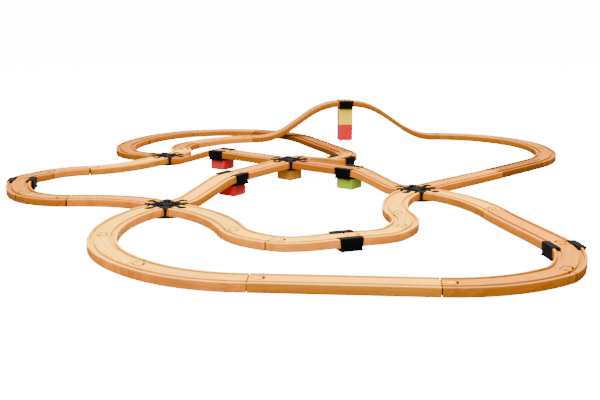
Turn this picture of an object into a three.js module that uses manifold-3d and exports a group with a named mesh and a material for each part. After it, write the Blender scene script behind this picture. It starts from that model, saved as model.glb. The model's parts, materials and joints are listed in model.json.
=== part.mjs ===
// A wooden toy railway laid out on the floor: grooved wooden track pieces joined by pegs,
// four black crossing pieces, black saddles that hold two track ends, and studded bricks
// that lift the middle crossing, three saddles beside it and one tall arch at the back.
// Millimetres, +Z up, +X to the right of somebody looking from the front (+Y goes away).
import * as THREE from "three";
import { mergeVertices } from "three/addons/utils/BufferGeometryUtils.js";
import Module from "manifold-3d";

const wasm = await Module();
wasm.setup();

// ---- driving dimensions ----
const TRACK_WIDE = 40;
const TRACK_THICK = 12;
const GROOVE_WIDE = 6;
const GROOVE_DEEP = 3;
const GROOVE_OUT = 13; // from the middle of the track to the middle of a wheel groove
const GAP = 0.3; // air between two pieces that touch
const CUT_GAP = 0.25; // air where a saddle is cut to clear a track that bends or slopes in it
const PEG_HEAD = 6; // radius of the peg's round head
const PEG_REACH = 11.5; // from the track's end to the middle of the head
const PEG_NECK = 6;
const SOCKET_EASE = 0.5; // how much bigger than its peg a socket is, all round
const LARGE = 201; // middle radius of each sort of 45 degree curve
const MEDIUM = 127;
const SMALL = 105;
const TURN = 45;
const LONG = 216; // lengths of the straights
const HALF = 143;
const SHORT = 110;
const BRICK_SIDE = 31.4;
const BRICK_TALL = 18;
const BRICK_WALL = 1.4;
const STUD_PITCH = 15.8;
const STUD_RADIUS = 4.6;
const STUD_TALL = 3.4;
const SADDLE_FLOOR = 4.4;
const FOOT_THICK = 1.8; // round foot plate under a crossing
const FOOT_RADIUS = 38;
const ARM = 22; // from a crossing's middle to the end of each track around it
const LEVEL_PART = 15; // track stays level this far from a saddle or a crossing
const PRONG_WALL = 1.8; // thickness of the springy peg of a crossing
const PRONG_SLIT = 1.2; // half the slit in its tip
const WEB_NEAR = 14; // the upright web in each corner of a crossing
const WEB_FAR = 33;
const WEB_HALF = 0.9;
const ISLAND_RADIUS = 9; // round island on top of a crossing
const WALL_AWAY = 0.5; // from the track to a saddle's wall
const WALL_THICK = 2;
const SADDLE_TOP_HALF = 16.5; // a saddle's wall is longer at its top than at its bottom
const SADDLE_LOW_HALF = 14.4;
const LIP_THICK = 1;
const BAR_IN = 1.2; // how far a saddle's bar reaches past the middle of the groove
const WING_THICK = 2.2;
const EAR_TALL = 2;
const TUBE_OUT = 5.5; // tube under a brick
const TUBE_IN = 4.3;
const STEEP_PARTS = 10; // how many lengths a swept track is made of
const CURVE_PARTS = 8;
const SLOPE_PARTS = 4;

// ---- heights of the underside of the track ----
const ON_FLOOR = 0;
const ON_FOOT = FOOT_THICK + GAP;
const ON_SADDLE = SADDLE_FLOOR + GAP;
const ON_BRICK = BRICK_TALL + GAP + ON_SADDLE;
const TOWER_BRICK = 2 * BRICK_TALL;
const ON_TOWER = 2 * (TOWER_BRICK + GAP) + ON_SADDLE;

// ---- the crossings ----
// x and y are measured from the middle crossing; turn is the heading of arm 0, in degrees to
// the left of +X, and arm k points k quarter turns further round.
const CROSSINGS = {
  front_left: { x: -183.5, y: -274, turn: 50, level: ON_FOOT },
  back_left: { x: -245, y: 166, turn: 63, level: ON_FOOT },
  right: { x: 210, y: -160, turn: 52.5, level: ON_FOOT },
  middle: { x: 0, y: 0, turn: 50, level: ON_BRICK, raised: true },
};

// ---- the runs of track between two crossings ----
// A piece is a curve (kind and side) or a straight; bend is the play in the peg joint before
// it, in degrees to the left; a saddle stands at the joint named by its own entry. The joint
// before an "onto" piece is pushed fully home, so that piece is one solid with the one before it.
const left = (radius, bend = 0) => ({ kind: "curve", radius, turn: TURN, bend });
const right = (radius, bend = 0) => ({ kind: "curve", radius, turn: -TURN, bend });
const straight = (length, bend = 0) => ({ kind: "straight", length, bend });
const onto = (piece) => ({ ...piece, onto: true });
const saddle = (name, level) => ({ kind: "saddle", name, level });
const RUNS = [
  {
    name: "front_loop",
    from: ["front_left", 2],
    to: ["right", 3],
    pieces: [
      left(LARGE, 0), left(LARGE, -3), left(LARGE, -3), straight(LONG, -3), left(LARGE, 0),
      left(MEDIUM, 10), saddle("front_loop", ON_SADDLE), straight(LONG, 6), left(LARGE, -2),
    ],
  },
  {
    name: "inner_loop",
    from: ["front_left", 3],
    to: ["right", 2],
    pieces: [
      right(LARGE, 9), left(SMALL, 7), left(MEDIUM, 1), saddle("inner_loop", ON_SADDLE),
      left(MEDIUM, -6), left(SMALL, -2), right(LARGE, -3),
    ],
  },
  {
    name: "left_loop",
    from: ["front_left", 1],
    to: ["back_left", 2],
    pieces: [
      left(LARGE, 0), right(SMALL, -4), right(MEDIUM, -3), saddle("left_loop", ON_SADDLE),
      right(MEDIUM, 14), right(SMALL, -3), left(LARGE, 8),
    ],
  },
  {
    name: "left_bridge",
    from: ["front_left", 0],
    to: ["middle", 2],
    pieces: [straight(HALF, 6), saddle("left_bridge", ON_BRICK), straight(HALF, 1)],
  },
  {
    name: "back_bridge",
    from: ["back_left", 3],
    to: ["middle", 1],
    pieces: [straight(SHORT, -2), saddle("back_bridge", ON_BRICK), straight(HALF, -10)],
  },
  {
    name: "right_bridge",
    from: ["middle", 3],
    to: ["right", 1],
    pieces: [straight(SHORT, 2), saddle("right_bridge", ON_BRICK), straight(SHORT, 1)],
  },
  {
    name: "tower_loop",
    from: ["right", 0],
    to: ["back_left", 0],
    pieces: [
      straight(LONG, -6), straight(HALF, 0), left(LARGE, 1), left(LARGE, -6), left(LARGE, 0),
      straight(LONG, 7), saddle("tower", ON_TOWER), straight(LONG, 6), left(LARGE, 5),
      left(SMALL, -1), right(SMALL, 7),
    ],
  },
  {
    name: "back_loop",
    from: ["back_left", 1],
    to: ["middle", 0],
    pieces: [
      right(MEDIUM, 8), onto(right(LARGE, -5)), right(LARGE, 8), right(LARGE, -1),
      right(LARGE, -3), onto(straight(LONG, -4)), right(MEDIUM, -5),
      saddle("back_ramp", ON_SADDLE), straight(HALF, -8),
    ],
  },
];

// ---- small tools ----
const rad = (degrees) => (degrees * Math.PI) / 180;
const unit = (degrees) => [Math.cos(rad(degrees)), Math.sin(rad(degrees))];

function solid(geometry) {
  geometry.deleteAttribute("normal");
  geometry.deleteAttribute("uv");
  const joined = mergeVertices(geometry, 1e-4);
  return new wasm.Manifold(
    new wasm.Mesh({
      numProp: 3,
      vertProperties: joined.attributes.position.array,
      triVerts: new Uint32Array(joined.index.array),
    }),
  );
}

// An upright prism over an outline of [x, y] points.
function prism(outline, low, high) {
  const shape = new THREE.Shape(outline.map(([x, y]) => new THREE.Vector2(x, y)));
  const options = { depth: high - low, bevelEnabled: false, curveSegments: 1 };
  return solid(new THREE.ExtrudeGeometry(shape, options).translate(0, 0, low));
}

const box = (x0, x1, y0, y1, z0, z1) =>
  prism([[x0, y0], [x1, y0], [x1, y1], [x0, y1]], z0, z1);

function ring(radius, count, x = 0, y = 0) {
  return Array.from({ length: count }, (_, i) => {
    const [c, s] = unit((360 * (i + 0.5)) / count);
    return [x + radius * c, y + radius * s];
  });
}

const place = (body, pose) =>
  body.rotate([0, 0, pose.heading]).translate([pose.x, pose.y, pose.z || 0]);

const joined = (bodies) => bodies.reduce((all, body) => all.add(body));

// ---- laying the runs ----
// The far end of a piece that starts at [x, y] with this heading.
function pieceEnd(piece, x, y, heading) {
  if (piece.kind === "straight") {
    const [c, s] = unit(heading);
    return { x: x + piece.length * c, y: y + piece.length * s, heading };
  }
  const side = Math.sign(piece.turn);
  const [c, s] = unit(heading);
  const [c1, s1] = unit(heading + piece.turn);
  const cx = x - side * piece.radius * s;
  const cy = y + side * piece.radius * c;
  return {
    x: cx + side * piece.radius * s1,
    y: cy - side * piece.radius * c1,
    heading: heading + piece.turn,
  };
}

function armEnd([name, arm]) {
  const crossing = CROSSINGS[name];
  const heading = crossing.turn + 90 * arm;
  const [c, s] = unit(heading);
  return { x: crossing.x + ARM * c, y: crossing.y + ARM * s, heading, level: crossing.level };
}

// Each piece's start pose for these bends, and the pose where the run ends.
function walk(run, bends) {
  let { x, y, heading } = armEnd(run.from);
  const starts = [];
  run.track.forEach((piece, i) => {
    const start = { x, y, heading: heading + bends[i] };
    starts.push(start);
    ({ x, y, heading } = pieceEnd(piece, x, y, start.heading));
  });
  return { starts, end: { x, y, heading } };
}

// Spreads the error at the far crossing over the play of all the joints, as little as can be.
function closeRun(run) {
  const target = armEnd(run.to);
  let bends = run.track.map((piece) => piece.bend);
  for (let round = 0; round < 8; round += 1) {
    const { starts, end } = walk(run, bends);
    const miss = [target.x - end.x, target.y - end.y];
    const rows = starts.map((p) => [-(end.y - p.y) * rad(1), (end.x - p.x) * rad(1)]);
    const sum = (i, j) => rows.reduce((total, row) => total + row[i] * row[j], 0);
    const det = sum(0, 0) * sum(1, 1) - sum(0, 1) ** 2;
    const a = (sum(1, 1) * miss[0] - sum(0, 1) * miss[1]) / det;
    const b = (sum(0, 0) * miss[1] - sum(0, 1) * miss[0]) / det;
    bends = bends.map((bend, i) => bend + a * rows[i][0] + b * rows[i][1]);
  }
  return walk(run, bends);
}

// Height of the track's underside along a piece: level at both ends, a steady slope between.
function heightAlong(along, length, from, to, soft) {
  if (from === to) return from;
  const t = Math.min(1, Math.max(0, (along - LEVEL_PART) / (length - 2 * LEVEL_PART)));
  const near = Math.min(t, 1 - t);
  const slope = 1 / (1 - soft);
  const rise = near < soft ? (slope * near * near) / (2 * soft) : slope * (near - soft / 2);
  return from + (to - from) * (t < 0.5 ? rise : 1 - rise);
}

// ---- track pieces ----
// The outline of the track from its end, or with air all round it for cutting what holds it.
function trackSection(air) {
  const half = TRACK_WIDE / 2 + air;
  const low = TRACK_THICK - GROOVE_DEEP + air;
  const high = TRACK_THICK + air;
  const outer = GROOVE_OUT + GROOVE_WIDE / 2 - air;
  const inner = GROOVE_OUT - GROOVE_WIDE / 2 + air;
  const rightHalf = [
    [half, -air], [half, high], [outer, high], [outer, low], [inner, low], [inner, high],
  ];
  const leftHalf = rightHalf.map(([n, z]) => [-n, z]).reverse();
  return [...rightHalf, ...leftHalf];
}

// The section carried along stations; each station has a middle point, a side vector, a height.
function sweep(stations, air = 0) {
  const section = trackSection(air);
  const count = section.length;
  const positions = stations.flatMap((p) =>
    section.flatMap(([n, z]) => [p.x + n * p.side[0], p.y + n * p.side[1], p.z + z]),
  );
  const cap = THREE.ShapeUtils.triangulateShape(
    section.map(([n, z]) => new THREE.Vector2(n, z)),
    [],
  );
  const last = (stations.length - 1) * count;
  const index = cap.flatMap(([a, b, c]) => [a, c, b, last + a, last + b, last + c]);
  for (let k = 0; k < stations.length - 1; k += 1) {
    for (let i = 0; i < count; i += 1) {
      const j = (i + 1) % count;
      const a = k * count + i;
      const b = k * count + j;
      index.push(a, b, a + count, b, b + count, a + count);
    }
  }
  const geometry = new THREE.BufferGeometry();
  geometry.setAttribute("position", new THREE.Float32BufferAttribute(positions, 3));
  geometry.setIndex(index);
  return solid(geometry);
}

function pegOutline(grow) {
  const radius = PEG_HEAD + grow;
  const half = PEG_NECK / 2 + grow;
  const open = (Math.asin(half / radius) * 180) / Math.PI;
  const steps = 7;
  const head = Array.from({ length: steps + 1 }, (_, i) => {
    const [c, s] = unit(180 + open + ((360 - 2 * open) * i) / steps);
    return [PEG_REACH + radius * c, radius * s];
  });
  return [[-2, half], [-2, -half], ...head];
}

// A side vector for an end cut along this heading on a track that runs at another heading.
function endSide(cut, heading) {
  const [c, s] = unit(cut);
  const stretch = 1 / Math.cos(rad(cut - heading));
  return [-s * stretch, c * stretch];
}

function stationsOf(piece, start, levels, cuts) {
  const curved = piece.kind === "curve";
  const length = curved ? piece.radius * rad(TURN) : piece.length;
  const steep = Math.abs(levels[1] - levels[0]) > ON_BRICK;
  const sloped = levels[0] !== levels[1];
  const parts = steep ? STEEP_PARTS : curved ? CURVE_PARTS : sloped ? SLOPE_PARTS : 1;
  const alongs = Array.from({ length: parts + 1 }, (_, i) => (length * i) / parts);
  if (sloped) alongs.push(LEVEL_PART, length - LEVEL_PART);
  alongs.sort((a, b) => a - b);
  const kept = alongs.filter((a, i) => i === 0 || a - alongs[i - 1] > 2);
  return kept.map((along) => {
    const share = along / length;
    const shorter = curved
      ? { ...piece, turn: piece.turn * share }
      : { ...piece, length: along };
    const p = share > 0 ? pieceEnd(shorter, start.x, start.y, start.heading) : start;
    const cut = share === 0 ? cuts[0] : share === 1 ? cuts[1] : p.heading;
    const inset = share === 0 ? cuts[2] : share === 1 ? -cuts[3] : 0;
    const [c, s] = unit(cut);
    const z = heightAlong(along, length, levels[0], levels[1], steep ? 0.4 : 0.2);
    return { x: p.x + inset * c, y: p.y + inset * s, z, side: endSide(cut, p.heading) };
  });
}

// ---- black plastic pieces ----
// Two springy prongs that fill the outline of a peg, open in the middle.
function splitPeg(low, high) {
  const outer = prism(pegOutline(-0.1), low, high);
  const inner = prism(pegOutline(-0.1 - PRONG_WALL), low - 1, high + 1);
  const tip = PEG_REACH + 2 * PEG_HEAD;
  const slit = box(PEG_REACH, tip, -PRONG_SLIT, PRONG_SLIT, low - 1, high + 1);
  return outer.subtract(inner.translate([0.4, 0, 0])).subtract(slit);
}

// A crossing in its own frame: the underside of the tracks around it is at height 0.
function crossingBody(raised) {
  const half = ARM - GAP;
  const low = raised ? -GAP - 1 : -GAP - FOOT_THICK;
  const grooveLow = TRACK_THICK - GROOVE_DEEP;
  let hub = box(-half, half, -half, half, low, TRACK_THICK);
  const groove = box(
    -half - 1, half + 1,
    GROOVE_OUT - GROOVE_WIDE / 2, GROOVE_OUT + GROOVE_WIDE / 2,
    grooveLow, TRACK_THICK + 1,
  );
  for (let k = 0; k < 4; k += 1) hub = hub.subtract(groove.rotate([0, 0, 90 * k]));
  const corner = box(WEB_NEAR, WEB_FAR, -WEB_HALF, WEB_HALF, low, TRACK_THICK);
  const webs = [0, 1, 2, 3].map((k) => corner.rotate([0, 0, 45 + 90 * k]));
  const prongs = [0, 1, 2, 3].map((k) =>
    splitPeg(2, TRACK_THICK).translate([ARM, 0, 0]).rotate([0, 0, 90 * k]),
  );
  const island = prism(ring(ISLAND_RADIUS, 12), TRACK_THICK - 1, TRACK_THICK + 1);
  const all = joined([hub, island, ...webs, ...prongs]);
  if (!raised) return all.add(prism(ring(FOOT_RADIUS, 24), low, low + FOOT_THICK));
  const plate = prism(ring(FOOT_RADIUS - 6, 16), low, -GAP);
  const down = [0, 0, -ON_SADDLE];
  return joined([all, plate, brickBlock().translate(down)]).subtract(studSpace().translate(down));
}

// The square block that stands on a brick, and the space in it that presses over the studs.
function brickBlock() {
  const half = BRICK_SIDE / 2;
  return box(-half, half, -half, half, 0, SADDLE_FLOOR);
}

function studSpace() {
  const inside = STUD_PITCH / 2 + STUD_RADIUS + 1.2;
  return box(-inside, inside, -inside, inside, -1, STUD_TALL + GAP);
}

// One side of a saddle: wall, lip over the edge strip, and a round-ended bar in the groove.
function saddleSide() {
  const wall = TRACK_WIDE / 2 + WALL_AWAY;
  const out = wall + WALL_THICK;
  const floor = ON_SADDLE;
  const top = floor + TRACK_THICK + GAP;
  const lipTop = top + LIP_THICK;
  const low = SADDLE_LOW_HALF;
  const wide = SADDLE_TOP_HALF;
  const wallFace = [[-low, 0], [low, 0], [wide, lipTop], [-wide, lipTop]];
  const side = prism(wallFace, -out, -wall).rotate([90, 0, 0]);
  const hook = GROOVE_OUT + GROOVE_WIDE / 2 - GAP;
  const lip = box(-wide, wide, hook - 1, out, top, lipTop);
  const barLow = floor + TRACK_THICK - GROOVE_DEEP + GAP;
  const bar = box(-wide, wide, GROOVE_OUT - BAR_IN, hook, barLow, lipTop);
  const reach = GROOVE_WIDE / 2 - GAP;
  const lobes = [-wide, wide].map((x) => prism(ring(reach, 8, x, GROOVE_OUT), barLow, top));
  return joined([side, lip, bar, ...lobes]);
}

function saddleBody() {
  const out = TRACK_WIDE / 2 + WALL_AWAY + WALL_THICK;
  const half = SADDLE_LOW_HALF;
  const oneSide = saddleSide();
  const wings = box(-half, half, -out, out, SADDLE_FLOOR - WING_THICK, SADDLE_FLOOR);
  const ear = box(half - 3, half + 1.2, out - 4, out + 1, 0, EAR_TALL);
  const turned = (body) => body.rotate([0, 0, 180]);
  const ears = [ear, ear.mirror([1, 0, 0])];
  const all = [brickBlock(), wings, oneSide, turned(oneSide), ...ears, ...ears.map(turned)];
  return joined(all).subtract(studSpace());
}

// ---- studded bricks ----
function brickBody(tall) {
  const half = BRICK_SIDE / 2;
  const inside = half - BRICK_WALL;
  const shell = box(-half, half, -half, half, 0, tall);
  const hollow = box(-inside, inside, -inside, inside, -1, tall - BRICK_WALL);
  const tubeWall = prism(ring(TUBE_OUT, 8), 0, tall - 1);
  const tube = tubeWall.subtract(prism(ring(TUBE_IN, 8), -1, tall - BRICK_WALL));
  const place4 = [[-1, -1], [1, -1], [1, 1], [-1, 1]];
  const studs = place4.map(([i, j]) =>
    prism(ring(STUD_RADIUS, 10, (i * STUD_PITCH) / 2, (j * STUD_PITCH) / 2), tall - 1, tall + STUD_TALL),
  );
  return joined([shell.subtract(hollow), tube, ...studs]);
}

// ---- putting it together ----
const WOOD = [0xe8b478, 0xd99a5b, 0xcf8c50, 0xf0c48c, 0xd8a06a];
const BLACK = 0x17181a;
const COLOURS = { red: 0xd21c16, lime: 0xa6cf1a, mustard: 0xc9971c, yellow: 0xf4d21f };
const parts = [];

function pieceKind(piece) {
  const size = { [LARGE]: "large", [MEDIUM]: "medium", [SMALL]: "small" }[piece.radius];
  const length = { [LONG]: "long", [HALF]: "half", [SHORT]: "short" }[piece.length];
  return piece.kind === "curve" ? `${size}_curve` : `${length}_straight`;
}

// Splits a run's list into its track pieces and the level and saddle at each joint.
function sortRun(run) {
  run.track = [];
  run.joints = [{ level: armEnd(run.from).level }];
  run.pieces.forEach((entry) => {
    if (entry.kind === "saddle") {
      run.joints[run.joints.length - 1] = { level: entry.level, saddle: entry.name };
    } else {
      run.track.push(entry);
      run.joints.push({ level: ON_FLOOR });
    }
  });
  run.joints[run.joints.length - 1] = { level: armEnd(run.to).level };
}

function layRun(run) {
  sortRun(run);
  const { starts } = closeRun(run);
  const far = armEnd(run.to);
  const near = armEnd(run.from);
  const count = run.track.length;
  const peg = prism(pegOutline(0), 0, TRACK_THICK);
  const socket = prism(pegOutline(SOCKET_EASE), -1, TRACK_THICK + 1);
  let heading = near.heading;
  const poses = run.track.map((piece, i) => {
    const end = pieceEnd(piece, starts[i].x, starts[i].y, starts[i].heading);
    const before = i === 0 ? near.heading : (heading + starts[i].heading) / 2;
    heading = end.heading;
    return { start: starts[i], end, before };
  });
  run.track.forEach((piece, i) => {
    const { start, end, before } = poses[i];
    const after = i === count - 1 ? far.heading - 180 : poses[i + 1].before;
    const turns = Math.round((end.heading - after) / 360);
    const fusedNext = i < count - 1 && run.track[i + 1].onto;
    const insets = [
      i === 0 || piece.onto ? 0 : GAP / 2,
      i === count - 1 || fusedNext ? 0 : GAP / 2,
    ];
    const cuts = [before, after + 360 * turns, ...insets];
    const levels = [run.joints[i].level, run.joints[i + 1].level];
    const stations = stationsOf(piece, start, levels, cuts);
    const saddleBefore = run.joints[i].saddle;
    if (saddleBefore) cutSaddle(saddleBefore, stations);
    let body = sweep(stations);
    const socketPose = i === 0 ? near : { ...start, heading: poses[i - 1].end.heading };
    if (!piece.onto) body = body.subtract(place(socket, { ...socketPose, z: levels[0] }));
    if (i === count - 1) body = body.subtract(place(socket, { ...far, z: levels[1] }));
    else if (!fusedNext) body = body.add(place(peg, { ...end, z: levels[1] }));
    if (piece.onto) {
      const before = parts[parts.length - 1];
      before.body = before.body.add(body);
      before.name += "_and_" + pieceKind(piece);
    } else {
      const colour = WOOD[parts.length % WOOD.length];
      parts.push({ name: `${run.name}_${i + 1}_${pieceKind(piece)}`, body, colour });
    }
    const held = run.joints[i + 1].saddle;
    if (held) laySaddle(held, { ...end, heading: cuts[1] }, levels[1]);
    if (held) cutSaddle(held, stations);
  });
}

const BRICKS = { left_bridge: "red", back_bridge: "red", right_bridge: "lime" };

function laySaddle(name, pose, level) {
  const bottom = level - ON_SADDLE;
  parts.push({ name: `saddle_${name}`, body: place(saddleBody(), { ...pose, z: bottom }), colour: BLACK });
  if (BRICKS[name]) layBrick(`brick_${BRICKS[name]}_${name}`, BRICKS[name], BRICK_TALL, { ...pose, z: 0 });
  if (name !== "tower") return;
  layBrick("brick_red_tower", "red", TOWER_BRICK, { ...pose, z: 0 });
  layBrick("brick_yellow_tower", "yellow", TOWER_BRICK, { ...pose, z: TOWER_BRICK + GAP });
}

// Takes away whatever of a saddle the track it holds would touch.
function cutSaddle(name, stations) {
  const found = parts.find((part) => part.name === `saddle_${name}`);
  found.body = found.body.subtract(sweep(stations, CUT_GAP));
}

function layBrick(name, colour, tall, pose) {
  parts.push({ name, body: place(brickBody(tall), pose), colour: COLOURS[colour] });
}

function layCrossings() {
  Object.entries(CROSSINGS).forEach(([name, at]) => {
    const pose = { x: at.x, y: at.y, heading: at.turn, z: at.level };
    parts.push({ name: `crossing_${name}`, body: place(crossingBody(at.raised), pose), colour: BLACK });
    if (at.raised) layBrick("brick_mustard_middle", "mustard", BRICK_TALL, { ...pose, z: 0 });
  });
}

function meshOf({ name, body, colour }, shift) {
  const made = body.translate(shift).getMesh();
  const points = new Float32Array(made.numVert * 3);
  for (let i = 0; i < made.numVert; i += 1) {
    points.set(made.vertProperties.subarray(i * made.numProp, i * made.numProp + 3), i * 3);
  }
  const geometry = new THREE.BufferGeometry();
  geometry.setAttribute("position", new THREE.BufferAttribute(points, 3));
  geometry.setIndex(new THREE.BufferAttribute(new Uint32Array(made.triVerts), 1));
  geometry.computeVertexNormals();
  const mesh = new THREE.Mesh(geometry, new THREE.MeshStandardMaterial({ color: colour }));
  mesh.name = name;
  return mesh;
}

// The railway's own origin: the middle of its box, on the floor.
function originShift() {
  const boxes = parts.map((part) => part.body.boundingBox());
  const middle = (axis) => {
    const low = Math.min(...boxes.map((b) => b.min[axis]));
    const high = Math.max(...boxes.map((b) => b.max[axis]));
    return (low + high) / 2;
  };
  return [-middle(0), -middle(1), 0];
}

layCrossings();
RUNS.forEach(layRun);
const shift = originShift();
const railway = new THREE.Group();
parts.forEach((part) => railway.add(meshOf(part, shift)));

export default railway;
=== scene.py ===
import json
import math
import random

import bpy
import numpy as np
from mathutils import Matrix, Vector

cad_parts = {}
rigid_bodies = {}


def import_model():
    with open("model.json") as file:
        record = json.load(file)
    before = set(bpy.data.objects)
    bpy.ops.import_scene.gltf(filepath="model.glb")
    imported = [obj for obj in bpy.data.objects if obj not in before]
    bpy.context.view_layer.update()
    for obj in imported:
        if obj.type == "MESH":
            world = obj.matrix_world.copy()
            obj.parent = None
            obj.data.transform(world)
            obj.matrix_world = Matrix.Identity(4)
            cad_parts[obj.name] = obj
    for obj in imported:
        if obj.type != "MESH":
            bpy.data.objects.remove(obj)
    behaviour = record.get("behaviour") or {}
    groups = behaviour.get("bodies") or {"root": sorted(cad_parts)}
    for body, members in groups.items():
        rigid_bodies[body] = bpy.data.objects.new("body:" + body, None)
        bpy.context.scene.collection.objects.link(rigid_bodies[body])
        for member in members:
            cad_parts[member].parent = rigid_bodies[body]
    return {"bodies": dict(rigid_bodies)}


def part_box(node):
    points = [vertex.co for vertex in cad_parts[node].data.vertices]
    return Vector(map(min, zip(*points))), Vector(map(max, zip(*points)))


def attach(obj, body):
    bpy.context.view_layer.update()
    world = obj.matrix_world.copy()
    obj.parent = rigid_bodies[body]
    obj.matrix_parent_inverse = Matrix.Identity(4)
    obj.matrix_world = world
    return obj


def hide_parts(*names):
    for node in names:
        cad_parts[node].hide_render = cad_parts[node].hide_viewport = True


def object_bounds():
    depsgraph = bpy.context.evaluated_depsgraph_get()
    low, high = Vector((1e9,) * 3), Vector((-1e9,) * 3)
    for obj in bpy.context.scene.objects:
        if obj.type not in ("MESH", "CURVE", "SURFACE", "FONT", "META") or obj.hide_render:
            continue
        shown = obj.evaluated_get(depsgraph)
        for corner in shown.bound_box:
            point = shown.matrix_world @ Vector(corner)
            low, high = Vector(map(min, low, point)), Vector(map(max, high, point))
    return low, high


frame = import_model()
cad_low, cad_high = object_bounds()
random.seed(7)

# ---- driving dimensions, millimetres ----
MM = 0.001
TRACK_WIDE = 40.0
TRACK_THICK = 12.0
GROOVE_WIDE = 6.0
GROOVE_DEEP = 3.0
GROOVE_OUT = 13.0
GAP = 0.3
CUT_GAP = 0.25
PEG_HEAD = 6.0  # radius
PEG_REACH = 11.5
PEG_NECK = 6.0
SOCKET_EASE = 0.5
SOCKET_WORN = 1.2  # a socket is this much longer than its peg
LARGE = 201.0
MEDIUM = 127.0
SMALL = 105.0
TURN = 45.0
LONG = 216.0
HALF = 143.0
SHORT = 110.0
BRICK_SIDE = 31.4
BRICK_TALL = 18.0
BRICK_WALL = 1.4
TUBE_OUT = 5.5
TUBE_IN = 4.3
STUD_PITCH = 15.8
STUD_RADIUS = 4.6
STUD_TALL = 3.4
SADDLE_FLOOR = 4.4
SADDLE_TOP_HALF = 16.4
SADDLE_LOW_HALF = 14.4
WALL_AWAY = 0.5  # air between the track and a saddle's wall
WALL_THICK = 2.0
LIP_THICK = 0.97
BAR_IN = 1.2  # how far a bar reaches past the groove's middle
LOBE_AWAY = 16.5
WING_THICK = 2.2
EAR_WIDE = 4.2
EAR_OUT = 0.95
FOOT_THICK = 1.8
FOOT_RADIUS = 38.0
PLATE_THICK = 1.0  # the raised crossing has this plate in place of a foot
PLATE_RADIUS = 32.0
ISLAND_RADIUS = 9.4
PRONG_WALL = 2.4
PRONG_SLIT = 1.3  # half the slit's width
WEB_NEAR = 14.0  # the corner webs, measured from the crossing's middle
WEB_FAR = 33.0
WEB_HALF = 0.9
POST_AWAY = 32.2
ARM = 22.0
LEVEL_PART = 15.0  # track stays level this far from each end of a ramp
STEEP_SOFT = 0.4  # share of a ramp's length over which its slope builds up
SLOPE_SOFT = 0.2
STEEP_PARTS = 40
BENT_PARTS = 20
SLIM = 0.35  # the track is this much narrower on each side than its CAD node
SEAM = 0.4  # half the gap drawn between two pieces

# heights of the underside of the track
ON_FLOOR = 0.0
ON_FOOT = FOOT_THICK + GAP
ON_SADDLE = SADDLE_FLOOR + GAP
ON_BRICK = BRICK_TALL + GAP + ON_SADDLE
TOWER_BRICK = 2 * BRICK_TALL
ON_TOWER = 2 * (TOWER_BRICK + GAP) + ON_SADDLE

# ---- the camera and the light ----
LENS = 54.91  # millimetres
CAMERA_PLACE = (-0.01275, -1.56835, 0.3197)  # metres
CAMERA_DIP = 12.47  # degrees below level
FLOOR_HALF = 300.0  # metres
FLOOR_DROP = 0.0002
FLOOR_GLOW = 14.0
WORLD_LIGHT = 0.5

# ---- the crossings, measured from the middle one: x, y, heading of arm 0, underside ----
CROSSINGS = {
    "front_left": (-183.5, -274.0, 50.0, ON_FOOT),
    "back_left": (-245.0, 166.0, 63.0, ON_FOOT),
    "right": (210.0, -160.0, 52.5, ON_FOOT),
    "middle": (0.0, 0.0, 50.0, ON_BRICK),
}

# ---- wood tones: colour of the top, and a darker colour for the sides that paints in shade ----
TONES = {
    "cream": ((0.95, 0.50, 0.008), (0.84, 0.26, 0.006)),
    "cream_pink": ((0.92, 0.44, 0.010), (0.68, 0.20, 0.010)),
    "straw": ((0.95, 0.44, 0.003), (0.50, 0.17, 0.003)),
    "honey": ((0.66, 0.235, 0.001), (0.62, 0.19, 0.001)),
    "amber": ((0.44, 0.135, 0.001), (0.42, 0.12, 0.001)),
    "peach": ((0.56, 0.20, 0.003), (0.36, 0.11, 0.002)),
    "pinkish": ((0.43, 0.15, 0.006), (0.36, 0.11, 0.004)),
    "brown": ((0.27, 0.078, 0.002), (0.22, 0.062, 0.002)),
}


# ---- the runs of track: name, first crossing and arm, last crossing and arm, pieces ----
def curve(radius, turn, bend, tone):
    return {"radius": radius, "turn": turn, "length": radius * math.radians(TURN), "bend": bend,
            "tone": tone, "kind": {LARGE: "large", MEDIUM: "medium", SMALL: "small"}[radius] + "_curve"}


def left(radius, bend, tone):
    return curve(radius, TURN, bend, tone)


def right(radius, bend, tone):
    return curve(radius, -TURN, bend, tone)


def straight(length, bend, tone):
    kind = {LONG: "long", HALF: "half", SHORT: "short"}[length] + "_straight"
    return {"radius": 0.0, "turn": 0.0, "length": length, "bend": bend, "tone": tone, "kind": kind}


def onto(piece):
    return {**piece, "onto": True}


def saddle(name, level):
    return {"saddle": name, "level": level}


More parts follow.
